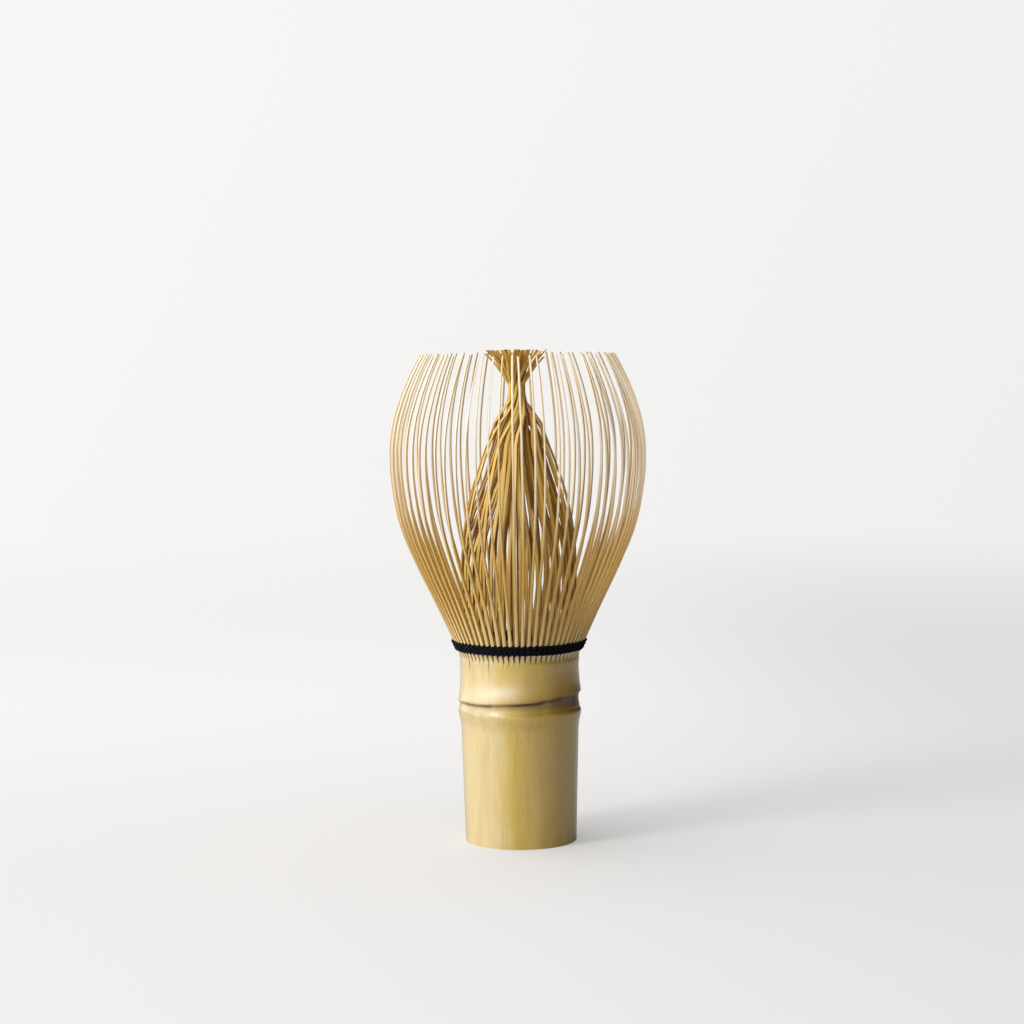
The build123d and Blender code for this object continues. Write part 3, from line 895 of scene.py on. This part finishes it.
def make_cane(sizes, thread_top):
    """The cane: one closed skin, outside and inside, with its comb of teeth cut by V-shaped slits."""
    rng = np.random.default_rng(CANE_SEED)
    depth_drift = rng.uniform(*SLIT_DEPTH_DRIFT, TINES)
    cracks = rng.random(TINES) < CRACKED_SHARE
    depth_drift[cracks] -= rng.uniform(*CRACK_LENGTH, int(cracks.sum()))
    wobble_phase = rng.uniform(0, 2 * pi, 4)
    tooth_lean = tan(ROOT_LEAN)
    half_tooth = sizes.tooth_thickness / 2 / cos(ROOT_LEAN)
    straight = thread_top - STRAIGHT_TOOTH
    columns = TINES * COLUMNS_PER_TOOTH
    slit_row = len(GRIP_ROWS) + len(NODE_ROWS) + len(NECK_ROWS)
    heights = [value * MM for value in (*GRIP_ROWS, *NODE_ROWS, *NECK_ROWS, *COMB_ROWS)]
    heights.append(sizes.tooth_top)

    def scar_at(turn):
        tilt = tan(sizes.scar_tilt) * sizes.comb_radius * cos(turn)
        wobble = 0.12 * sin(3 * turn + wobble_phase[0]) + 0.07 * sin(7 * turn + wobble_phase[1])
        return sizes.scar_height + tilt + wobble * MM

    def plain_radius(height):
        """The grip and the neck, without the node."""
        if height < sizes.barrel_height:
            rise = height / sizes.barrel_height
            return sizes.foot_radius + (sizes.barrel_radius - sizes.foot_radius) * rise
        step = smooth(height, sizes.barrel_height, sizes.waist_height)
        radius = sizes.barrel_radius + (sizes.waist_radius - sizes.barrel_radius) * step
        if height > sizes.waist_height:
            lift = (height - sizes.waist_height) / (sizes.comb_height - sizes.waist_height)
            radius += (sizes.comb_radius - sizes.waist_radius) * min(lift, 1.0) ** 2
        return radius

    def outside(height, turn):
        above = height - scar_at(turn)
        flare = hypot(above, LIP_ROUNDING) - LIP_ROUNDING
        ridge = exp(-flare / (FADE_ABOVE if above > 0 else FADE_BELOW))
        crest = -(CREST_LEFT + CREST_DROP * rightness(turn))
        reach = CREST_REACH_ABOVE if above > crest else CREST_REACH_BELOW
        ridge += CREST_SHARE * bell(above, crest, reach)
        groove = sizes.scar_depth * bell(above, -LIP_ROUNDING, GROOVE_WIDTH)
        crease = CREASE_DEPTH * rightness(turn) ** 2 * bell(above, crease_at(turn), GROOVE_WIDTH)
        waver = 0.05 * sin(2 * turn + wobble_phase[2]) + 0.03 * sin(5 * turn + wobble_phase[3])
        return plain_radius(height) + sizes.swelling * ridge - groove - crease + waver * MM

    def middle(height):
        return PIVOT_RADIUS + (height - PIVOT.z) * tooth_lean

    def outer_radius(height, turn):
        joined = smooth(height, sizes.comb_height, straight)
        leaning = middle(height) + half_tooth
        return outside(min(height, sizes.comb_height), turn) * (1 - joined) + leaning * joined

    def inner_radius(height, turn):
        joined = smooth(height, sizes.comb_height, straight)
        leaning = middle(height) - half_tooth
        return (sizes.comb_radius - sizes.comb_wall) * (1 - joined) + leaning * joined

    def slit_half(height):
        """Half the slit's angle beside a tooth's edge, from a sharp bottom to full width."""
        opened = smooth(height - heights[slit_row], *SLIT_OPENS) ** SLIT_SHARPNESS
        return 0.5 * sizes.slit_width * opened / middle(max(height, straight))

    def row_height(row, column):
        """Rows follow the scar's tilt near the node, and dip to each slit's own bottom in the comb."""
        height = heights[row]
        if len(GRIP_ROWS) <= row < len(GRIP_ROWS) + len(NODE_ROWS):
            turn = column * 2 * pi / columns
            fade = 1 - smooth(abs(height - sizes.scar_height), *TILT_FADE)
            height += (scar_at(turn) - sizes.scar_height) * fade
        if slit_row - 4 <= row <= slit_row + 3 and column % COLUMNS_PER_TOOTH == 0:
            height += depth_drift[column // COLUMNS_PER_TOOTH] * (1 - abs(row - slit_row) / 5.0)
        return height

    verts, faces, marks = [], [], []

    def add(radius, turn, height, pared, inside):
        verts.append((radius * cos(turn), radius * sin(turn), height))
        marks.append((pared, inside))
        return len(verts) - 1

    def face(ring, flip=False):
        kept = [value for i, value in enumerate(ring) if value != ring[i - 1]]
        if len(kept) > 2:
            faces.append(kept[::-1] if flip else kept)

    def stitch(lower, upper, flip=False):
        for column in range(columns):
            after = (column + 1) % columns
            face([lower[column][1], lower[after][0], upper[after][0], upper[column][1]], flip)

    def skin(rows, radius_at, inside):
        """Rows of vertices, one a column, and two where a column runs up an open slit."""
        grid = []
        for row, base in rows:
            line = []
            for column in range(columns):
                tooth, part = divmod(column, COLUMNS_PER_TOOTH)
                uneven = not inside or (row <= slit_row and part == 0)
                height = row_height(row, column) if uneven else base
                opened = slit_half(height) if row > slit_row else 0.0
                pared = smooth(height, 43.6 * MM, 45.4 * MM) if row >= slit_row else 0.0
                if part:
                    lean = (part / COLUMNS_PER_TOOTH - 0.5) * 2
                    turns = [tooth * STEP + lean * (STEP / 2 - opened)]
                elif opened:
                    turns = [(tooth - 0.5) * STEP + side * opened for side in (-1, 1)]
                else:
                    turns = [(tooth - 0.5) * STEP]
                made = [add(radius_at(height, turn), turn, height, pared, inside) for turn in turns]
                line.append((made[0], made[-1]))
            grid.append(line)
        return grid

    def ring_inside(radius, height):
        """One level of the cup or the hollow, a little out of round, given in millimetres."""
        ring = []
        for column in range(columns):
            turn = (column / COLUMNS_PER_TOOTH - 0.5) * STEP
            waver = 1 + HOLLOW_WAVER * sin(3 * turn + height)
            made = add(radius * MM * waver, turn, height * MM, 0.0, 1.0)
            ring.append((made, made))
        return ring

    rows = list(enumerate(heights))
    outer = skin(rows, outer_radius, 0.0)
    inner = skin(rows[slit_row:][::-1], inner_radius, 1.0)
    for lower, upper in zip(outer, outer[1:]):
        stitch(lower, upper)
    for upper, lower in zip(inner, inner[1:]):
        stitch(lower, upper, flip=True)
    # The tops of the teeth, then the walls of each slit.
    stitch(outer[-1], inner[0])
    comb_outer = outer[slit_row:]
    comb_inner = inner[::-1]
    for column in range(0, columns, COLUMNS_PER_TOOTH):
        for step in range(len(comb_outer) - 1):
            for side, flip in ((1, True), (0, False)):
                ring = [
                    comb_outer[step][column][side],
                    comb_outer[step + 1][column][side],
                    comb_inner[step + 1][column][side],
                    comb_inner[step][column][side],
                ]
                face(ring, flip)
    # The cup down to the cross wall, then from the wall's underside down to the foot.
    cup = [inner[-1], *(ring_inside(radius, height) for radius, height in CUP_PROFILE)]
    for upper, lower in zip(cup, cup[1:]):
        stitch(lower, upper, flip=True)
    faces.append([pair[0] for pair in cup[-1]])
    hollow = [ring_inside(radius, height) for radius, height in HOLLOW_PROFILE]
    faces.append([pair[0] for pair in hollow[0]][::-1])
    for upper, lower in zip(hollow, hollow[1:]):
        stitch(lower, upper, flip=True)
    stitch(hollow[-1], outer[0])

    mesh = bpy.data.meshes.new("cane")
    mesh.from_pydata(verts, [], faces)
    mark_cane(mesh, verts, marks, scar_at)
    mesh.update()
    mesh.shade_smooth()
    mesh.set_sharp_from_angle(angle=SHARP_CORNER)
    return add_object("cane", mesh)


def keep_values(mesh, name, values):
    """Keeps one number for each vertex, which the cane's material reads."""
    mesh.attributes.new(name, "FLOAT", "POINT").data.foreach_set("value", values)


def mark_cane(mesh, verts, marks, scar_at):
    """Marks the dark scar with painted shade beside it on the right, the pared teeth, the inside, and the
    pale wax beside the node, which is mostly a painted highlight.
    """
    scar_and_shade, wax_and_highlights = [], []
    for spot, (_, inside) in zip(verts, marks):
        turn = atan2(spot[1], spot[0])
        above = spot[2] - scar_at(turn)
        crease = crease_at(turn)
        right = rightness(turn) ** 2
        left = max(-cos(turn), 0.0)
        # The scar line is the node's own dark mark, uneven round the cane and painted darker towards the
        # right as shade.
        weight = 0.55 + 0.45 * cos(turn) + 0.25 * sin(5 * turn + 1.0) + 0.2 * sin(11 * turn)
        dark = bell(above, -0.2 * MM, 0.34 * MM) * (0.4 + 0.4 * weight)
        dark += 0.22 * bell(above, -0.3 * MM, 1.1 * MM)
        # On the right, away from the key light: painted shade in the crease, between it and the scar, and a
        # fainter band above.
        dark += 0.5 * right * bell(above, crease, 0.4 * MM)
        dark += right * bell(above, crease / 2, 1.8 * MM)
        dark += 0.32 * right * bell(above, 1.6 * MM, 2.6 * MM)
        dark += 0.3 * left * bell(above, -1.9 * MM, 1.2 * MM)
        scar_and_shade.append(0.0 if inside else min(max(dark, 0.0), 1.0))
        # Mostly a painted highlight on the side that faces the key light, and a faint pale wax all round.
        facing = 0.05 + 0.85 * max(cos(turn - HIGHLIGHT_SIDE), 0.0) ** 10
        wax_and_highlights.append(0.0 if inside else bell(above, 2.9 * MM, 1.6 * MM) * facing)
    keep_values(mesh, "scar", scar_and_shade)
    keep_values(mesh, "pared", [pared for pared, _ in marks])
    keep_values(mesh, "inside", [inside for _, inside in marks])
    keep_values(mesh, "bloom_and_highlight", wax_and_highlights)


# ---------------------------------------------------------------- knot


DRAWN_SHARE = 0.92           # a strand's thickness once the knot is drawn tight
KNOT_POINTS = 15
KNOT_OPENING = 0.94          # the share of the closed loop before the two ends leave it


def make_knot(sizes, centre, material):
    """A drawn overhand knot and its two cut ends, behind the whisk."""
    curve = bpy.data.curves.new("knot", "CURVE")
    curve.dimensions = "3D"
    curve.bevel_depth = sizes.radius * DRAWN_SHARE
    curve.bevel_resolution = 2
    curve.use_fill_caps = True
    loops = []
    for step in range(KNOT_POINTS):
        turn = step / (KNOT_POINTS - 1) * 2 * pi * KNOT_OPENING
        ring = 0.62 + 0.38 * cos(3 * turn)
        spot = Vector((ring * cos(2 * turn), 0.45 * sin(3 * turn), ring * sin(2 * turn)))
        loops.append(centre + spot * (sizes.knot_radius - sizes.radius * 0.5))
    start, end = loops[0], loops[-1]
    fall = sizes.tail
    first = [start + Vector((0.25, 0.35, -0.95)) * fall, start + Vector((0.2, 0.3, -0.5)) * fall]
    last = [end + Vector((-0.18, 0.28, -0.45)) * fall, end + Vector((-0.32, 0.3, -0.9)) * fall]
    route = first + loops + last
    spline = curve.splines.new("NURBS")
    spline.points.add(len(route) - 1)
    for point, spot in zip(spline.points, route):
        point.co = (*spot, 1.0)
    spline.order_u = 3
    spline.use_endpoint_u = True
    spline.resolution_u = 5
    holder = bpy.data.objects.new("knot_curve", curve)
    bpy.context.scene.collection.objects.link(holder)
    view = bpy.context.evaluated_depsgraph_get()
    mesh = bpy.data.meshes.new_from_object(holder.evaluated_get(view))
    bpy.data.objects.remove(holder)
    mesh.materials.clear()
    mesh.materials.append(material)
    return add_object("knot", mesh)


# ---------------------------------------------------------------- operators


class WHISK_OT_cane(bpy.types.Operator):
    """Makes the cane grip with its node, cup, hollow and comb"""

    bl_idname = "whisk.cane"
    bl_label = "Cane"

    def execute(self, context):
        scene = context.scene
        piece = make_cane(scene.whisk_cane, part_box("thread_third_row")[1].z)
        piece.data.materials.append(cane_material(scene.whisk_colours))
        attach(piece, "root")
        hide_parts("culm_handle")
        return {"FINISHED"}


BOW_INSET = 0.3              # of the root's thickness: how far inside the cage's width a tine's middle runs
SHARED_INPUTS = (
    "Root Width", "Root Thickness", "Tip Thickness", "Crown", "Wander", "Sway", "Spread", "Uneven Tips",
    "Turn",
)


def strip_values(sizes, material):
    """What both rings of strips give their tree: the settings that share an input's name, and the ring."""
    values = {text: getattr(sizes, text.lower().replace(" ", "_")) for text in SHARED_INPUTS}
    values.update({"Strips Round": TINES, "Seed": sizes.seed, "Material": material})
    return values


class WHISK_OT_tines(bpy.types.Operator):
    """Makes the outer tines, a pair to each sprung body"""

    bl_idname = "whisk.tines"
    bl_label = "Outer Tines"

    def execute(self, context):
        sizes = context.scene.whisk_tines
        colours = context.scene.whisk_colours
        material = strip_material(
            "Pared tines",
            colours.tine,
            colours.tine_tip,
            colours.tine_golden,
            colours.tine_side,
            colours.tine_side_tip,
        )
        tree = strip_tree("Outer tines", OUTER_BOW, OUTER_WIDTH, 0)
        start = PIVOT.z - sizes.start_drop
        full = CAD_HIGH.x - sizes.root_thickness * BOW_INSET
        for pair, (cad_node, body) in enumerate(zip(PAIR_NODES, PAIR_BODIES)):
            values = strip_values(sizes, material) | {
                "Start Radius": PIVOT_RADIUS - sizes.start_drop * tan(ROOT_LEAN),
                "Full Radius": full,
                "Start Height": start,
                "Tip Height": CAD_HIGH.z,
                "Full Width": sizes.tip_width,
                "Twist": 0.0,
                "Pairing": sizes.pairing,
                "Layer Share": 0.0,
                "Start Angle": 0.0,
                "First Strip": pair * TINES_PER_PAIR,
                "Strips": TINES_PER_PAIR,
            }
            piece = grow(f"tines_{pair + 1:02d}", tree, values)
            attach(piece, body)
            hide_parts(cad_node)
        return {"FINISHED"}


class WHISK_OT_sheaf(bpy.types.Operator):
    """Makes the twisted sheaf of inner tines"""

    bl_idname = "whisk.sheaf"
    bl_label = "Sheaf"

    def execute(self, context):
        sizes = context.scene.whisk_sheaf
        colours = context.scene.whisk_colours
        material = strip_material(
            "Sheaf strips",
            colours.strip,
            colours.strip_tip,
            colours.strip_golden,
            colours.strip_side,
            colours.strip_side_tip,
        )
        tree = strip_tree("Sheaf", SHEAF_BOW, SHEAF_WIDTH, SHEAF_LAYERS)
        group_size = TINES // len(SHEAF_NODES)
        for group, cad_node in enumerate(SHEAF_NODES):
            values = strip_values(sizes, material) | {
                "Start Radius": sizes.root_radius,
                "Full Radius": 2 * sizes.root_radius,
                "Start Height": SHEAF_LOW.z - sizes.start_drop,
                "Tip Height": SHEAF_HIGH.z + sizes.overshoot,
                "Full Width": sizes.full_width,
                "Twist": sizes.twist,
                "Pairing": 0.0,
                "Layer Share": sizes.layer_share,
                "Start Angle": STEP / 2,
                "First Strip": group * group_size,
                "Strips": group_size,
            }
            piece = grow(f"sheaf_{group + 1}", tree, values)
            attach(piece, "root")
            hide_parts(cad_node)
        return {"FINISHED"}


# Shares of a strand's radius: how far its middle lies off a tooth, and how far it climbs in a slit.
STRAND_BITE, STRAND_RISE = 0.35, 0.35


class WHISK_OT_thread(bpy.types.Operator):
    """Makes the three twined rows of thread and the knot"""

    bl_idname = "whisk.thread"
    bl_label = "Thread"

    def execute(self, context):
        sizes = context.scene.whisk_thread
        cane = context.scene.whisk_cane
        material = thread_material(context.scene.whisk_colours)
        tree = strand_tree()
        middle_row = 0.5 * (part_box(ROW_NODES[1])[0].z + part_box(ROW_NODES[1])[1].z)
        for row, cad_node in enumerate(ROW_NODES):
            height = middle_row + sizes.lift + (row - 1) * sizes.row_pitch
            radius = PIVOT_RADIUS + (height - PIVOT.z) * tan(ROOT_LEAN)
            around = 2 * pi * radius
            values = {
                "Row Radius": radius,
                "Row Height": height,
                "Swing": 0.5 * cane.tooth_thickness / cos(ROOT_LEAN) + sizes.radius * STRAND_BITE,
                "Lean": ROOT_LEAN,
                "Rise": sizes.radius * STRAND_RISE,
                "Thickness": sizes.radius,
                "Ply Depth": sizes.ply_depth,
                "Ply Turns": float(round(around / sizes.ply_pitch)),
                "Teeth": TINES,
                "Material": material,
            }
            piece = grow(f"thread_row_{row + 1}", tree, values)
            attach(piece, "root")
            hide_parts(cad_node)
        low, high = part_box("thread_knot")
        centre = Vector(((low.x + high.x) / 2, (low.y + high.y) / 2, high.z - sizes.knot_radius))
        knot = make_knot(sizes, centre, material)
        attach(knot, "root")
        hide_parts("thread_knot")
        return {"FINISHED"}


KEY_PLACE = Vector((-0.66, -0.45, 0.56))
KEY_TARGET = Vector((0.0, 0.0, 0.06))
KEY_TINT = (1.0, 0.985, 0.965)
SENSOR_WIDTH = 36.0


def area_light(name, power, size):
    """A soft square light from the left and in front, which faces the middle of the whisk."""
    data = bpy.data.lights.new(name, "AREA")
    data.energy = power
    data.size = size
    data.color = KEY_TINT
    made = bpy.data.objects.new(name, data)
    made.visible_camera = False
    made.location = KEY_PLACE
    made.rotation_euler = (KEY_TARGET - KEY_PLACE).to_track_quat("-Z", "Y").to_euler()
    bpy.context.scene.collection.objects.link(made)


class WHISK_OT_stage(bpy.types.Operator):
    """Makes the pale sweep, the soft lights and the camera"""

    bl_idname = "whisk.stage"
    bl_label = "Stage"

    def execute(self, context):
        scene = context.scene
        sizes = scene.whisk_stage
        mesh = bpy.data.meshes.new("floor")
        shape = bmesh.new()
        bmesh.ops.create_circle(shape, cap_ends=True, segments=96, radius=sizes.floor_radius)
        shape.to_mesh(mesh)
        shape.free()
        floor = add_object("floor", mesh)
        mesh.materials.append(floor_material(scene.whisk_colours, sizes))
        area_light("key", sizes.key_power, sizes.key_size)
        scene.world = light_surroundings(scene.whisk_colours, sizes)
        scene.view_settings.view_transform = "Standard"

        camera_data = bpy.data.cameras.new("camera")
        camera_data.lens = sizes.focal_length
        camera_data.sensor_width = SENSOR_WIDTH
        camera = bpy.data.objects.new("camera", camera_data)
        camera.location = (-sizes.camera_offset, -sizes.camera_distance, sizes.camera_height)
        level = Matrix.Rotation(pi / 2 - sizes.camera_pitch, 3, "X")
        camera.rotation_euler = (level @ Matrix.Rotation(-sizes.camera_roll, 3, "Z")).to_euler()
        scene.collection.objects.link(camera)
        scene.camera = camera
        return {"FINISHED"}


class WHISK_PT_panel(bpy.types.Panel):
    """Lists the whisk's pieces and their settings"""

    bl_idname = "WHISK_PT_panel"
    bl_label = "Tea Whisk"
    bl_space_type = "VIEW_3D"
    bl_region_type = "UI"
    bl_category = "Tea Whisk"

    def draw(self, context):
        layout = self.layout
        for operator, group in STEPS:
            box = layout.box()
            box.operator(operator.bl_idname)
            settings = getattr(context.scene, group)
            for name in settings.__annotations__:
                box.prop(settings, name)
        colours = layout.box()
        for name in context.scene.whisk_colours.__annotations__:
            colours.prop(context.scene.whisk_colours, name)


GROUPS = {
    "whisk_cane": WhiskCaneSettings,
    "whisk_tines": WhiskTineSettings,
    "whisk_sheaf": WhiskSheafSettings,
    "whisk_thread": WhiskThreadSettings,
    "whisk_colours": WhiskColours,
    "whisk_stage": WhiskStageSettings,
}
STEPS = (
    (WHISK_OT_stage, "whisk_stage"),
    (WHISK_OT_cane, "whisk_cane"),
    (WHISK_OT_tines, "whisk_tines"),
    (WHISK_OT_sheaf, "whisk_sheaf"),
    (WHISK_OT_thread, "whisk_thread"),
)


def register():
    """Registers the settings, the operators and the panel."""
    for name, group in GROUPS.items():
        bpy.utils.register_class(group)
        setattr(bpy.types.Scene, name, bpy.props.PointerProperty(type=group))
    for operator, _ in STEPS:
        bpy.utils.register_class(operator)
    bpy.utils.register_class(WHISK_PT_panel)


def unregister():
    """Takes everything back out, in the opposite order."""
    bpy.utils.unregister_class(WHISK_PT_panel)
    for operator, _ in reversed(STEPS):
        bpy.utils.unregister_class(operator)
    for name, group in reversed(GROUPS.items()):
        delattr(bpy.types.Scene, name)
        bpy.utils.unregister_class(group)


def main():
    """Makes the whisk and its stage."""
    register()
    for name in ("stage", "cane", "tines", "sheaf", "thread"):
        getattr(bpy.ops.whisk, name)()


if __name__ == "__main__":
    main()
